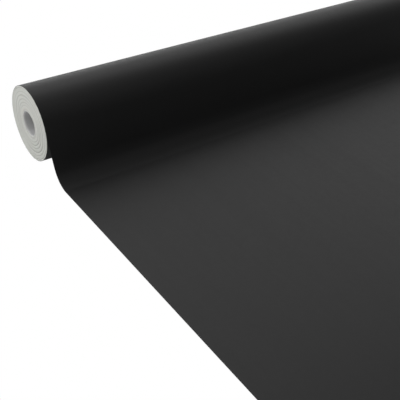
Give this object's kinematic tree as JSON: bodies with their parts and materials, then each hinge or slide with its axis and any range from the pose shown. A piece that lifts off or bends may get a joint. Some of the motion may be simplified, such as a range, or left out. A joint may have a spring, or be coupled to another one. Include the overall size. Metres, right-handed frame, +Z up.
{
  "type": "backdrop paper roll",
  "caption": "Half-width roll of black-faced backdrop paper on a card core, with the sheet drawn off over the front of the roll, down to the floor and flat along it.",
  "frame": {"origin": "middle of the core's bore, half way along the roll; the floor is one roll radius, 75 mm, below it", "axes": "+X along the roll and its core, -Y the way the sheet is drawn off the front of the roll, +Z up"},
  "size_m": [1.35, 1.075, 0.15],
  "materials": {
    "black_face": "satin black coat on the face of the paper",
    "paper_edges": "raw cut edges of pale base paper, matt, with fine rings",
    "core_liner": "smooth light grey liner paper",
    "core_board": "raw grey board",
    "tape": "dull adhesive tape"
  },
  "bodies": {
    "web": {"outer_turn": "black_face", "falling_sheet": "black_face", "floor_bend": "black_face", "floor_sheet": "black_face"},
    "roll": {"core_liner": "core_liner", "core_board": "core_board", "core_wrap": "core_board", "start_tape": "tape", "wound_turns": "paper_edges"},
    "leading_end": {"leading_sheet": "black_face"}
  },
  "joints": [
    {"name": "roll_turn", "type": "hinge", "parent": "web", "child": "roll", "pos_m": [0, 0, 0], "axis": [1, 0, 0], "range_deg": [-180, 360]},
    {"name": "sheet_draw", "type": "slide", "parent": "web", "child": "leading_end", "axis": [0, -1, 0], "range_m": [-0.2357, 0.4713], "deforming": ["floor_sheet"]}
  ],
  "couplings": [
    {"joint": "sheet_draw", "follows": "roll_turn", "m_per_rad": 0.075}
  ]
}
